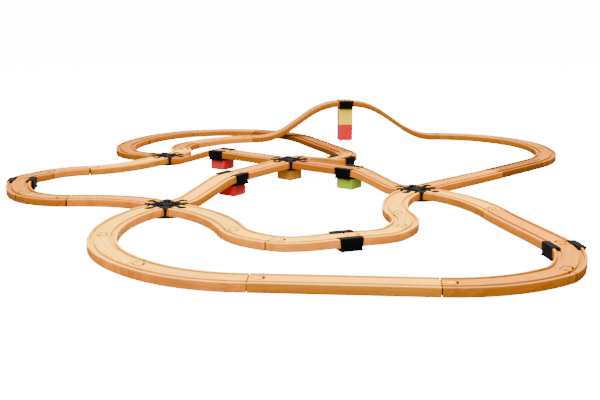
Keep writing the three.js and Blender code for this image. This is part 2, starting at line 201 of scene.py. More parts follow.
RUNS = [
    ("front_loop", ("front_left", 2), ("right", 3), [
        left(LARGE, 0, "cream"), left(LARGE, -3, "cream"), left(LARGE, -3, "cream_pink"),
        straight(LONG, -3, "straw"), left(LARGE, 0, "peach"), left(MEDIUM, 10, "peach"),
        saddle("front_loop", ON_SADDLE), straight(LONG, 6, "honey"), left(LARGE, -2, "straw"),
    ]),
    ("inner_loop", ("front_left", 3), ("right", 2), [
        right(LARGE, 9, "cream"), left(SMALL, 7, "cream"), left(MEDIUM, 1, "cream"),
        saddle("inner_loop", ON_SADDLE), left(MEDIUM, -6, "cream"), left(SMALL, -2, "cream_pink"),
        right(LARGE, -3, "cream_pink"),
    ]),
    ("left_loop", ("front_left", 1), ("back_left", 2), [
        left(LARGE, 0, "honey"), right(SMALL, -4, "peach"), right(MEDIUM, -3, "pinkish"),
        saddle("left_loop", ON_SADDLE), right(MEDIUM, 14, "pinkish"), right(SMALL, -3, "honey"),
        left(LARGE, 8, "straw"),
    ]),
    ("left_bridge", ("front_left", 0), ("middle", 2), [
        straight(HALF, 6, "straw"), saddle("left_bridge", ON_BRICK), straight(HALF, 1, "honey"),
    ]),
    ("back_bridge", ("back_left", 3), ("middle", 1), [
        straight(SHORT, -2, "amber"), saddle("back_bridge", ON_BRICK), straight(HALF, -10, "peach"),
    ]),
    ("right_bridge", ("middle", 3), ("right", 1), [
        straight(SHORT, 2, "amber"), saddle("right_bridge", ON_BRICK), straight(SHORT, 1, "honey"),
    ]),
    ("tower_loop", ("right", 0), ("back_left", 0), [
        straight(LONG, -6, "honey"), straight(HALF, 0, "brown"), left(LARGE, 1, "pinkish"),
        left(LARGE, -6, "pinkish"), left(LARGE, 0, "peach"), straight(LONG, 7, "peach"),
        saddle("tower", ON_TOWER), straight(LONG, 6, "peach"), left(LARGE, 5, "honey"),
        left(SMALL, -1, "pinkish"), right(SMALL, 7, "straw"),
    ]),
    ("back_loop", ("back_left", 1), ("middle", 0), [
        right(MEDIUM, 8, "pinkish"), onto(right(LARGE, -5, "amber")), right(LARGE, 8, "amber"),
        right(LARGE, -1, "peach"), right(LARGE, -3, "brown"), onto(straight(LONG, -4, "brown")),
        right(MEDIUM, -5, "peach"), saddle("back_ramp", ON_SADDLE), straight(HALF, -8, "honey"),
    ]),
]
BRICKS = {"left_bridge": "red", "back_bridge": "red", "right_bridge": "lime"}


# ---- laying the runs, as the CAD part does ----
def unit(degrees):
    return math.cos(math.radians(degrees)), math.sin(math.radians(degrees))


def piece_end(piece, x, y, heading, share=1.0):
    c, s = unit(heading)
    if not piece["turn"]:
        return x + piece["length"] * share * c, y + piece["length"] * share * s, heading
    side = math.copysign(1.0, piece["turn"])
    turned = heading + piece["turn"] * share
    c1, s1 = unit(turned)
    radius = piece["radius"]
    cx, cy = x - side * radius * s, y + side * radius * c
    return cx + side * radius * s1, cy - side * radius * c1, turned


def arm_end(crossing, arm):
    x, y, turn, level = CROSSINGS[crossing]
    c, s = unit(turn + 90.0 * arm)
    return x + ARM * c, y + ARM * s, turn + 90.0 * arm, level


def walk(start, track, bends):
    x, y, heading, _ = start
    starts = []
    for piece, bend in zip(track, bends):
        starts.append((x, y, heading + bend))
        x, y, heading = piece_end(piece, x, y, heading + bend)
    return starts, (x, y)


def close_run(start, track, far):
    bends = np.array([piece["bend"] for piece in track], float)
    for _ in range(8):
        starts, end = walk(start, track, bends)
        miss = np.array([far[0] - end[0], far[1] - end[1]])
        rows = np.array([[-(end[1] - p[1]), end[0] - p[0]] for p in starts]) * math.radians(1)
        bends = bends + rows @ np.linalg.solve(rows.T @ rows, miss)
    return walk(start, track, bends)[0]


def is_steep(low, high):
    return abs(high - low) > ON_BRICK


def height_along(along, length, low, high):
    """Height of the track's underside: level at both ends, a steady slope between."""
    if low == high:
        return low
    t = min(1.0, max(0.0, (along - LEVEL_PART) / (length - 2 * LEVEL_PART)))
    near = min(t, 1 - t)
    soft = STEEP_SOFT if is_steep(low, high) else SLOPE_SOFT
    slope = 1 / (1 - soft)
    rise = slope * near * near / (2 * soft) if near < soft else slope * (near - soft / 2)
    return low + (high - low) * (rise if t < 0.5 else 1 - rise)


def sort_run(run):
    """The track pieces of a run, and (height, saddle name) at each joint."""
    _, first, last, entries = run
    track, joints = [], [(arm_end(*first)[3], None)]
    for entry in entries:
        if "saddle" in entry:
            joints[-1] = (entry["level"], entry["saddle"])
        else:
            track.append(entry)
            joints.append((ON_FLOOR, None))
    joints[-1] = (arm_end(*last)[3], None)
    return track, joints


def laid_pieces(run):
    """Each track piece of a run with its start pose, end pose, end cuts and heights."""
    track, joints = sort_run(run)
    near, far = arm_end(*run[1]), arm_end(*run[2])
    starts = close_run(near, track, far)
    ends = [piece_end(piece, *start) for piece, start in zip(track, starts)]
    cuts = [near[2]]
    for before, after in zip(ends, starts[1:]):
        cuts.append((before[2] + after[2]) / 2)
    flipped = far[2] - 180
    cuts.append(flipped + 360 * round((ends[-1][2] - flipped) / 360))
    return [
        {
            "piece": piece, "start": starts[i], "end": ends[i], "cuts": (cuts[i], cuts[i + 1]),
            "levels": (joints[i][0], joints[i + 1][0]), "saddle": joints[i + 1][1],
            "first": i == 0, "last": i == len(track) - 1, "near": near, "far": far,
            "before": ends[i - 1] if i else None,
            "onto_next": i + 1 < len(track) and bool(track[i + 1].get("onto")),
            "number": i + 1, "run": run[0],
        }
        for i, piece in enumerate(track)
    ]


# the CAD part's own origin, read from the middle crossing's box
mid_low, mid_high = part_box("crossing_middle")
SHIFT = ((mid_low.x + mid_high.x) / 2 / MM, (mid_low.y + mid_high.y) / 2 / MM)


# ---- meshes ----
def mesh_object(name, mesh):
    made = bpy.data.objects.new(name, mesh)
    bpy.context.scene.collection.objects.link(made)
    return made


def mesh_from(name, points, faces):
    mesh = bpy.data.meshes.new(name)
    mesh.from_pydata([Vector(p) * MM for p in points], [], faces)
    mesh.validate()
    return mesh


def evaluated(made):
    graph = bpy.context.evaluated_depsgraph_get()
    return bpy.data.meshes.new_from_object(made.evaluated_get(graph))


def apply_modifiers(made):
    mesh = evaluated(made)
    old = made.data
    made.modifiers.clear()
    made.data = mesh
    bpy.data.meshes.remove(old)
    return made


def combine(made, others, operation):
    """Joins or cuts made with each of the others, which are used up."""
    for other in others:
        step = made.modifiers.new("step", "BOOLEAN")
        step.operation = operation
        step.object = other
        step.solver = "MANIFOLD"
    apply_modifiers(made)
    for other in others:
        mesh = other.data
        bpy.data.objects.remove(other)
        bpy.data.meshes.remove(mesh)
    return made


def shade(mesh, degrees=35.0):
    mesh.polygons.foreach_set("use_smooth", [True] * len(mesh.polygons))
    mesh.set_sharp_from_angle(angle=math.radians(degrees))


def offset(outline, inward):
    """The closed outline moved inward by a distance, corners kept sharp."""
    count = len(outline)
    moved = []
    for i in range(count):
        ax, ay = outline[i - 1]
        bx, by = outline[i]
        cx, cy = outline[(i + 1) % count]
        first = Vector((bx - ax, by - ay)).normalized()
        second = Vector((cx - bx, cy - by)).normalized()
        middle = (first + second).normalized()
        normal = Vector((-middle.y, middle.x))
        stretch = max(0.35, normal.dot(Vector((-first.y, first.x))))
        moved.append((bx + normal.x * inward / stretch, by + normal.y * inward / stretch))
    return moved


def prism(name, outline, low, high, soft=0.0):
    """An upright prism over a left-turning outline; soft takes its top and bottom edges off."""
    rings = [(outline, low), (outline, high)]
    if soft:
        small = offset(outline, soft)
        rings = [(small, low), (outline, low + soft), (outline, high - soft), (small, high)]
    return ring_stack(name, rings)


def loft(name, rings):
    """A closed body through rings that all have the same number of points."""
    count = len(rings[0])
    points = [p for one in rings for p in one]
    faces = [tuple(reversed(range(count)))]
    faces.append(tuple(range((len(rings) - 1) * count, len(rings) * count)))
    for k in range(len(rings) - 1):
        low, high = k * count, (k + 1) * count
        for i in range(count):
            j = (i + 1) % count
            faces.append((low + i, low + j, high + j, high + i))
    return mesh_object(name, mesh_from(name, points, faces))


def ring_stack(name, rings):
    """A body through flat outlines, each at its own height."""
    return loft(name, [[(x, y, z) for x, y in outline] for outline, z in rings])


def rectangle(x0, x1, y0, y1):
    return [(x0, y0), (x1, y0), (x1, y1), (x0, y1)]


def ring(radius, count, x=0.0, y=0.0):
    return [(x + radius * unit(360 * i / count)[0], y + radius * unit(360 * i / count)[1])
            for i in range(count)]


def rounded(corners, steps=3):
    """An outline whose corners (x, y, radius) are rounded off."""
    count = len(corners)
    points = []
    for i in range(count):
        corner = Vector(corners[i][:2])
        radius = corners[i][2]
        if not radius:
            points.append(tuple(corner))
            continue
        start = corner + (Vector(corners[i - 1][:2]) - corner).normalized() * radius
        end = corner + (Vector(corners[(i + 1) % count][:2]) - corner).normalized() * radius
        for k in range(steps + 1):
            t = k / steps
            spot = start * (1 - t) ** 2 + corner * 2 * t * (1 - t) + end * t * t
            points.append(tuple(spot))
    return points


def place(made, x=0.0, y=0.0, heading=0.0, z=0.0):
    """Turns and moves a mesh drawn in millimetres about its own origin into the row frame."""
    c, s = unit(heading)
    coords = np.empty(len(made.data.vertices) * 3)
    made.data.vertices.foreach_get("co", coords)
    p = coords.reshape(-1, 3) / MM
    moved = np.column_stack([
        p[:, 0] * c - p[:, 1] * s + x + SHIFT[0],
        p[:, 0] * s + p[:, 1] * c + y + SHIFT[1],
        p[:, 2] + z,
    ]) * MM
    made.data.vertices.foreach_set("co", moved.ravel())
    made.data.update()
    return made


# ---- wooden track ----
def track_section(inset=0.0):
    half = TRACK_WIDE / 2 - SLIM - inset
    high = TRACK_THICK - inset
    low = TRACK_THICK - GROOVE_DEEP - inset
    outer = GROOVE_OUT + GROOVE_WIDE / 2 + inset
    inner = GROOVE_OUT - GROOVE_WIDE / 2 - inset
    side = [
        (half, inset, 0.9), (half, high, 1.3), (outer, high, 0.6),
        (outer, low, 0.5), (inner, low, 0.5), (inner, high, 0.6),
    ]
    return rounded(side + [(-n, z, r) for n, z, r in reversed(side)])


def end_side(cut, heading):
    stretch = 1 / math.cos(math.radians(cut - heading))
    c, s = unit(cut)
    return -s * stretch, c * stretch


def stations(laid):
    """Where the track's section stands along a piece: middle, side vector, height, inset."""
    piece, length = laid["piece"], laid["piece"]["length"]
    low, high = laid["levels"]
    bent = piece["turn"] or low != high
    parts = STEEP_PARTS if is_steep(low, high) else BENT_PARTS if bent else 1
    inset_start = 0.0 if laid["first"] or piece.get("onto") else SEAM
    inset_end = 0.0 if laid["last"] or laid["onto_next"] else SEAM
    spots = [(0.0, inset_start, 0.45), (0.0, inset_start + 0.5, 0.0)]
    spots += [(k / parts, 0.0, 0.0) for k in range(1, parts)]
    spots += [(1.0, -inset_end - 0.5, 0.0), (1.0, -inset_end, 0.45)]
    made = []
    for share, shift, inset in spots:
        x, y, heading = piece_end(piece, *laid["start"], share)
        cut = laid["cuts"][0] if share == 0 else laid["cuts"][1] if share == 1 else heading
        c, s = unit(cut)
        z = height_along(share * length, length, low, high)
        made.append((x + shift * c, y + shift * s, end_side(cut, heading), z, inset))
    return made


def track_body(name, laid):
    rings = []
    for x, y, side, z, inset in stations(laid):
        rings.append([(x + n * side[0], y + n * side[1], z + h) for n, h in track_section(inset)])
    return place(loft(name, rings))


def peg_outline(grow, steps=22):
    radius = PEG_HEAD + grow
    half = PEG_NECK / 2 + grow
    open_angle = math.degrees(math.asin(half / radius))
    head = []
    for i in range(steps + 1):
        c, s = unit(180 + open_angle + (360 - 2 * open_angle) * i / steps)
        head.append((PEG_REACH + radius * c, radius * s))
    return [(-2.0, half), (-2.0, -half), *head]


def peg(x, y, heading, z):
    rings = [(peg_outline(-0.7), 0.0), (peg_outline(-0.3), 0.5),
             (peg_outline(-0.3), TRACK_THICK - 0.4), (peg_outline(-0.6), TRACK_THICK)]
    return place(ring_stack("peg", rings), x, y, heading, z)


def socket_outline(grow):
    """Set further in than its peg, so a dark crescent shows past the peg's head."""
    return [(x + SOCKET_WORN, y) for x, y in peg_outline(grow)]


def socket(x, y, heading, z):
    rings = [(0.9, -0.4), (0.5, 0.4), (0.5, TRACK_THICK - 0.3), (0.9, TRACK_THICK + 0.1)]
    worn = [(socket_outline(SOCKET_EASE + ease), height) for ease, height in rings]
    return place(ring_stack("socket", worn), x, y, heading, z)


def track_piece(name, laid):
    made = track_body(name, laid)
    low, high = laid["levels"]
    cutters = []
    if laid["first"]:
        cutters.append(socket(*laid["near"][:3], low))
    elif not laid["piece"].get("onto"):
        x, y, _ = laid["start"]
        cutters.append(socket(x, y, laid["before"][2], low))
    if laid["last"]:
        cutters.append(socket(*laid["far"][:3], high))
    elif not laid["onto_next"]:
        combine(made, [peg(*laid["end"], high)], "UNION")
    if cutters:
        combine(made, cutters, "DIFFERENCE")
    shade(made.data)
    mark_wood(made.data, laid)
    return made


def along_and_across(p, laid):
    """How far each point lies along its piece, and to the left of its middle line."""
    x, y, heading = laid["start"]
    c, s = unit(heading)
    piece = laid["piece"]
    if not piece["turn"]:
        away = p[:, :2] - (x, y)
        return away @ np.array([c, s]), away @ np.array([-s, c])
    side = math.copysign(1.0, piece["turn"])
    centre = np.array([x - side * piece["radius"] * s, y + side * piece["radius"] * c])
    spoke = p[:, :2] - centre
    across = side * (piece["radius"] - np.hypot(spoke[:, 0], spoke[:, 1]))
    start_angle = math.atan2(y - centre[1], x - centre[0])
    angle = np.arctan2(spoke[:, 1], spoke[:, 0]) - start_angle
    angle = (angle + math.pi) % (2 * math.pi) - math.pi
    return side * angle * piece["radius"], across


def mark_wood(mesh, laid):
    """Stores where each point lies in the board it was cut from, and across the track."""
    coords = np.empty(len(mesh.vertices) * 3)
    mesh.vertices.foreach_get("co", coords)
    p = coords.reshape(-1, 3) / MM - np.array([SHIFT[0], SHIFT[1], 0.0])
    piece = laid["piece"]
    along, across = along_and_across(p, laid)
    low, high = laid["levels"]
    under = np.array([height_along(a, piece["length"], low, high) for a in along])
    store(mesh, "lane", np.column_stack([along, across, p[:, 2] - under]) * MM)
    store(mesh, "remaining", np.column_stack([piece["length"] - along, across, across]) * MM)
    ends = np.array([laid["start"][:2], laid["end"][:2]])
    chord = (ends[1] - ends[0]) / np.linalg.norm(ends[1] - ends[0])
    middle = ends.mean(0)
    flat = p[:, :2] - middle
    board = np.column_stack([flat @ chord, flat @ np.array([-chord[1], chord[0]]), p[:, 2] - under])
    shift = np.array([random.uniform(-2, 2), random.uniform(-0.4, 0.4), random.uniform(-0.2, 0.2)])
    store(mesh, "board", board * MM + shift)
    # each tone pair is the top's colour and a darker side colour that paints in shade on the sides
    tops, sides = TONES[piece["tone"]]
    drift = 1 + random.uniform(-0.07, 0.07)
    store(mesh, "top_tone", np.tile(np.array(tops) * drift, (len(p), 1)))
    store(mesh, "shaded_side_tone", np.tile(np.array(sides) * drift, (len(p), 1)))


def store(mesh, name, values):
    layer = mesh.attributes.new(name, "FLOAT_VECTOR", "POINT")
    layer.data.foreach_set("vector", np.asarray(values, np.float32).ravel())


def merged(made, other):
    """Puts the mesh of other into made and removes other."""
    with bpy.context.temp_override(active_object=made, selected_editable_objects=[made, other],
                                   object=made, selected_objects=[made, other]):
        bpy.ops.object.join()
    return made


# ---- black crossings ----
def split_peg():
    rings = [(peg_outline(-0.3), 1.6), (peg_outline(0.2), 2.2),
             (peg_outline(0.2), TRACK_THICK - 0.1), (peg_outline(-0.2), TRACK_THICK + 0.5)]
    outer = ring_stack("prongs", rings)
    inside = [(x + 0.2, y) for x, y in peg_outline(-PRONG_WALL)]
    hollow = prism("hollow", inside, 1.0, TRACK_THICK + 1)
    gap = rectangle(PEG_REACH, PEG_REACH + 8, -PRONG_SLIT, PRONG_SLIT)
    slit = prism("slit", gap, 1.0, TRACK_THICK + 1)
    return combine(outer, [hollow, slit], "DIFFERENCE")


def crossing_hub(low):
    half = ARM - GAP
    hub = prism("hub", rectangle(-half, half, -half, half), low, TRACK_THICK, 0.4)
    near = GROOVE_OUT - GROOVE_WIDE / 2
    floor = TRACK_THICK - GROOVE_DEEP
    lanes = []
    for k in range(4):
        lane = prism("lane", rectangle(-30, 30, near, near + GROOVE_WIDE), floor, TRACK_THICK + 1)
        lanes.append(turned(lane, 90 * k))
    return combine(hub, lanes, "DIFFERENCE")


def turned(made, degrees):
    c, s = unit(degrees)
    for v in made.data.vertices:
        v.co = (v.co.x * c - v.co.y * s, v.co.x * s + v.co.y * c, v.co.z)
    return made


def moved(made, x, y, z):
    for v in made.data.vertices:
        v.co += Vector((x, y, z)) * MM
    return made


def crossing_corner(low, raised):
    """The thin upright web between two tracks, with a cap on top and, on a foot, a flared post."""
    plan = rectangle(WEB_NEAR, WEB_FAR, -WEB_HALF, WEB_HALF)
    web = prism("web", plan, low, TRACK_THICK + 0.5, 0.2)
    cap = rounded([(19, -4.6, 1.6), (27, -7.2, 2.4), (33.4, -3, 2), (33.4, 3, 2), (27, 7.2, 2.4),
                   (19, 4.6, 1.6)])
    lid = prism("lid", cap, TRACK_THICK + 0.15, TRACK_THICK + 1.1, 0.3)
    if raised:
        return [web, lid]
    flare = [(4.4, low + 1.4), (2.6, low + 2.4), (1.5, low + 4.2), (1.2, low + 6.5),
             (1.2, TRACK_THICK + 0.5)]
    return [web, lid, ring_stack("post", [(ring(r, 16, POST_AWAY), z) for r, z in flare])]


def crossing_foot(radius, low):
    rings = [(radius - 0.4, low), (radius, low + 0.5), (radius - 0.5, -GAP - 0.4),
             (radius - 1.6, -GAP)]
    return ring_stack("foot", [(ring(r, 72), z) for r, z in rings])


def crossing_island():
    """The round middle of a crossing, a little hollow on top."""
    top = TRACK_THICK
    rings = [(ISLAND_RADIUS, top - 1), (ISLAND_RADIUS, top + 0.4), (ISLAND_RADIUS - 0.8, top + 1),
             (ISLAND_RADIUS - 3, top + 1), (ISLAND_RADIUS - 3.6, top + 0.5)]
    return ring_stack("island", [(ring(r, 40), z) for r, z in rings])


def crossing(name, key):
    x, y, turn, level = CROSSINGS[key]
    raised = level == ON_BRICK
    low = -GAP - (PLATE_THICK if raised else FOOT_THICK)
    hub = crossing_hub(low)
    parts = [crossing_foot(PLATE_RADIUS if raised else FOOT_RADIUS, low), crossing_island()]
    for k in range(4):
        parts += [turned(part, 45 + 90 * k) for part in crossing_corner(low, raised)]
        parts.append(turned(moved(split_peg(), ARM, 0, 0), 90 * k))
    if raised:
        block = prism("block", square(BRICK_SIDE / 2, 0.5), 0, SADDLE_FLOOR + 0.5, 0.3)
        parts.append(moved(block, 0, 0, -ON_SADDLE))
    made = combine(hub, parts, "UNION")
    if raised:
        combine(made, [moved(stud_space(), 0, 0, -ON_SADDLE)], "DIFFERENCE")
    made.name = name
    shade(made.data, 30)
    return place(made, x, y, turn, level)


# ---- black saddles ----
def upright(outline, y0, y1, soft=0.0):
    """A prism over an outline in x and z, standing between two y values."""
    made = prism("wall", [(x, -z) for x, z in reversed(outline)], y0, y1, soft)
    for v in made.data.vertices:
        v.co = (v.co.x, v.co.z, -v.co.y)
    return made


def saddle_side():
    """One wall of a saddle, its lip over the track, the bar in the groove and the bar's ends."""
    wall = TRACK_WIDE / 2 + WALL_AWAY
    out = wall + WALL_THICK
    top = ON_SADDLE + TRACK_THICK + GAP
    low, wide = SADDLE_LOW_HALF, SADDLE_TOP_HALF
    face = rounded([(-low, 0.05, 0.6), (low, 0.05, 0.6), (wide, top + 0.95, 0.9),
                    (-wide, top + 0.95, 0.9)])
    side = upright(face, wall, out - 0.02, 0.25)
    hook = GROOVE_OUT + GROOVE_WIDE / 2 - GAP
    plan = rounded([(-wide, hook - 1, 0.8), (wide, hook - 1, 0.8), (wide, out - 0.1, 0.3),
                    (-wide, out - 0.1, 0.3)])
    lip = prism("lip", plan, top, top + LIP_THICK, 0.3)
    bar_low = ON_SADDLE + TRACK_THICK - GROOVE_DEEP + GAP
    inner = GROOVE_OUT - BAR_IN
    plan = rounded([(-wide, inner, 0.8), (wide, inner, 0.8), (wide, hook, 0.4), (-wide, hook, 0.4)])
    bar = prism("bar", plan, bar_low, top + 0.9, 0.3)
    reach = GROOVE_WIDE / 2 - GAP
    lobes = [prism("lobe", ring(reach, 28, x, GROOVE_OUT), bar_low + 0.05, top - 0.05, 0.3)
             for x in (-LOBE_AWAY, LOBE_AWAY)]
    return [side, lip, bar, *lobes]


def track_envelope(laid):
    """The space a piece of track takes, a little grown, to be cut from its saddle."""
    half = TRACK_WIDE / 2 + CUT_GAP
    high = TRACK_THICK + CUT_GAP
    low = TRACK_THICK - GROOVE_DEEP + CUT_GAP
    outer = GROOVE_OUT + GROOVE_WIDE / 2 - CUT_GAP
    inner = GROOVE_OUT - GROOVE_WIDE / 2 + CUT_GAP
    side = [(half, -CUT_GAP), (half, high), (outer, high), (outer, low), (inner, low), (inner, high)]
    section = side + [(-n, z) for n, z in reversed(side)]
    rings = []
    for x, y, across, z, _ in stations(laid):
        rings.append([(x + n * across[0], y + n * across[1], z + h) for n, h in section])
    c0, s0 = unit(laid["cuts"][0])
    c1, s1 = unit(laid["cuts"][1])
    rings[0] = [(x - c0, y - s0, z) for x, y, z in rings[0]]
    rings[-1] = [(x + c1, y + s1, z) for x, y, z in rings[-1]]
    return place(loft("space", rings))


def stud_space():
    half = STUD_PITCH / 2 + STUD_RADIUS + 1.2
    return prism("studs", rectangle(-half, half, -half, half), -1, STUD_TALL + GAP, 0.0)


def saddle_ear(x, out):
    end, tip = x + EAR_WIDE, out + EAR_OUT
    plan = rounded([(x, out - 4, 0.4), (end, out - 4, 0.4), (end, tip, 1.6), (x, tip, 1.6)])
    return prism("ear", plan, 0.02, 1.98, 0.3)


def saddle_body(name, before, after):
    half = SADDLE_LOW_HALF
    out = TRACK_WIDE / 2 + WALL_AWAY + WALL_THICK
    block = prism("block", square(BRICK_SIDE / 2, 0.5), 0, SADDLE_FLOOR, 0.2)
    plan = rectangle(-half, half, -out + 0.02, out - 0.02)
    parts = [prism("wings", plan, SADDLE_FLOOR - WING_THICK, SADDLE_FLOOR - 0.01, 0.2)]
    for turn in (0, 180):
        parts += [turned(part, turn) for part in saddle_side()]
        parts += [turned(saddle_ear(x, out), turn) for x in (half - 3, -half - 1.2)]
    made = combine(block, parts, "UNION")
    combine(made, [stud_space()], "DIFFERENCE")
    x, y, _ = before["end"]
    heading = (before["end"][2] + after["start"][2]) / 2
    place(made, x, y, heading, before["levels"][1] - ON_SADDLE)
    combine(made, [track_envelope(before), track_envelope(after)], "DIFFERENCE")
    made.name = name
    shade(made.data, 30)
    return made


# ---- studded bricks ----
def square(half, corner):
    return rounded([(-half, -half, corner), (half, -half, corner), (half, half, corner),
                    (-half, half, corner)])


def brick(name, x, y, heading, z, tall):
    half = BRICK_SIDE / 2
    shell = prism("shell", square(half, 0.45), 0, tall, 0.3)
    hollow = prism("hollow", square(half - BRICK_WALL, 0.4), -1, tall - BRICK_WALL)
    combine(shell, [hollow], "DIFFERENCE")
    pipe = prism("pipe", ring(TUBE_OUT, 40), 0, tall - 1)
    combine(pipe, [prism("bore", ring(TUBE_IN, 40), -1, tall - BRICK_WALL)], "DIFFERENCE")
    parts = [pipe]
    for i, j in ((-1, -1), (1, -1), (1, 1), (-1, 1)):
        centre = (i * STUD_PITCH / 2, j * STUD_PITCH / 2)
        parts.append(prism("stud", ring(STUD_RADIUS - 0.02, 40, *centre), tall - 1,
                           tall + STUD_TALL, 0.35))
    made = combine(shell, parts, "UNION")
    made.name = name
    shade(made.data, 30)
    return place(made, x, y, heading, z)


# ---- materials ----
class Nodes:
    """Short ways to add and link the nodes of one material."""

    def __init__(self, name):
        self.material = bpy.data.materials.new(name)
        self.material.use_nodes = True
        self.tree = self.material.node_tree
        self.shader = self.tree.nodes["Principled BSDF"]

    def put(self, socket, value):
        if isinstance(value, bpy.types.NodeSocket):
            self.tree.links.new(value, socket)
        else:
            socket.default_value = value

    def set(self, **values):
        for name, value in values.items():
            self.put(self.shader.inputs[name.replace("_", " ")], value)

    def attribute(self, name):
        node = self.tree.nodes.new("ShaderNodeAttribute")
        node.attribute_name = name
        return node.outputs["Vector"]

    def here(self):
        return self.tree.nodes.new("ShaderNodeTexCoord").outputs["Object"]

    def uprightness(self):
        """One where a face stands upright, none where it faces up or down."""
        normal = self.tree.nodes.new("ShaderNodeNewGeometry").outputs["True Normal"]
        return self.between(self.math("ABSOLUTE", self.split(normal)[2]), 0.6, 0.9, 1.0, 0.0)

    def pointiness(self):
        return self.tree.nodes.new("ShaderNodeNewGeometry").outputs["Pointiness"]

    def math(self, operation, a, b=0.0, c=0.0):
        node = self.tree.nodes.new("ShaderNodeMath")
        node.operation = operation
        for socket, value in zip(node.inputs, (a, b, c)):
            self.put(socket, value)
        return node.outputs[0]

    def split(self, vector):
        node = self.tree.nodes.new("ShaderNodeSeparateXYZ")
        self.put(node.inputs[0], vector)
        return node.outputs

    def stretch(self, vector, scale):
        node = self.tree.nodes.new("ShaderNodeVectorMath")
        node.operation = "MULTIPLY"
        self.put(node.inputs[0], vector)
        node.inputs[1].default_value = scale
        return node.outputs[0]

    def noise(self, vector, scale, detail=2.0, distortion=0.0, rough=0.5):
        node = self.tree.nodes.new("ShaderNodeTexNoise")
        self.put(node.inputs["Vector"], vector)
        node.inputs["Scale"].default_value = scale
        node.inputs["Detail"].default_value = detail
        node.inputs["Roughness"].default_value = rough
        node.inputs["Distortion"].default_value = distortion
        return node.outputs[0]

    def waves(self, vector, scale, distortion):
        node = self.tree.nodes.new("ShaderNodeTexWave")
        node.bands_direction = "Y"
        self.put(node.inputs["Vector"], vector)
        node.inputs["Scale"].default_value = scale
        node.inputs["Distortion"].default_value = distortion
        node.inputs["Detail"].default_value = 2.0
        node.inputs["Detail Scale"].default_value = 0.6
        return node.outputs["Fac"]

    def between(self, value, low, high, start=0.0, end=1.0):
        node = self.tree.nodes.new("ShaderNodeMapRange")
        node.interpolation_type = "SMOOTHSTEP"
        for socket, number in zip(node.inputs, (value, low, high, start, end)):
            self.put(socket, number)
        return node.outputs[0]

    def mix(self, share, a, b, blend="MIX"):
        node = self.tree.nodes.new("ShaderNodeMix")
        node.data_type = "RGBA"
        node.blend_type = blend
        self.put(node.inputs[0], share)
        self.put(node.inputs[6], a)
        self.put(node.inputs[7], b)
        return node.outputs[2]

    def times(self, tone, factors):
        return self.mix(1.0, tone, (*factors, 1), "MULTIPLY")

    def bump(self, height, strength, distance):
        node = self.tree.nodes.new("ShaderNodeBump")
        node.inputs["Strength"].default_value = strength
        node.inputs["Distance"].default_value = distance
        self.put(node.inputs["Height"], height)
        self.put(self.shader.inputs["Normal"], node.outputs[0])


def wood_regions(n):
    """Masks for the sides, the wheel grooves with painted shade weighted onto their walls, the top's
    rounded edges, and painted shade at the seams and in the socket pockets.
    """
    along, across, height = n.split(n.attribute("lane"))
    remaining = n.split(n.attribute("remaining"))[0]
    out = n.math("ABSOLUTE", across)
    side = n.between(out, 0.0186, 0.0195)
    in_groove = n.math("ABSOLUTE", n.math("SUBTRACT", out, GROOVE_OUT * MM))
    lane = n.between(in_groove, 0.0026, 0.0034, 1.0, 0.0)
    wall = n.uprightness()
    # the groove's walls take the full darkening and its floor a little: part dirt, part painted shade
    below = n.math("MAXIMUM", n.between(height, 0.0112, 0.0118, 0.22, 0.0), wall)
    groove = n.math("MULTIPLY", lane, below)
    edge = n.math("MULTIPLY", n.between(out, 0.0182, 0.0196), n.between(height, 0.0100, 0.0114))
    # near-black marks at the ends of a piece and on the upright faces near the middle line: painted
    # shade in the seams and socket pockets
    end = n.math("MINIMUM", n.math("ABSOLUTE", along), n.math("ABSOLUTE", remaining))
    cut = n.between(end, 0.0004, 0.0009, 1.0, 0.0)
    middle = n.between(out, 0.0094, 0.0098, 1.0, 0.0)
    pocket_shade = n.math("MULTIPLY", middle, wall)
    return side, groove, edge, n.math("MAXIMUM", cut, pocket_shade)


def wood_figure(n):
    """Values for fine fibres, growth rings, short flecks and broad patches."""
    board = n.attribute("board")
    fibres = n.noise(n.stretch(board, (9.0, 420.0, 420.0)), 1.0, 4.0, 0.3, 0.65)
    rings = n.waves(n.stretch(board, (0.9, 34.0, 34.0)), 1.0, 7.0)
    flecks = n.between(n.noise(n.stretch(board, (130.0, 1500.0, 1500.0)), 1.0, 1.0), 0.60, 0.70)
    patches = n.noise(n.stretch(board, (7.0, 22.0, 22.0)), 1.0, 2.0)
    return fibres, rings, flecks, patches


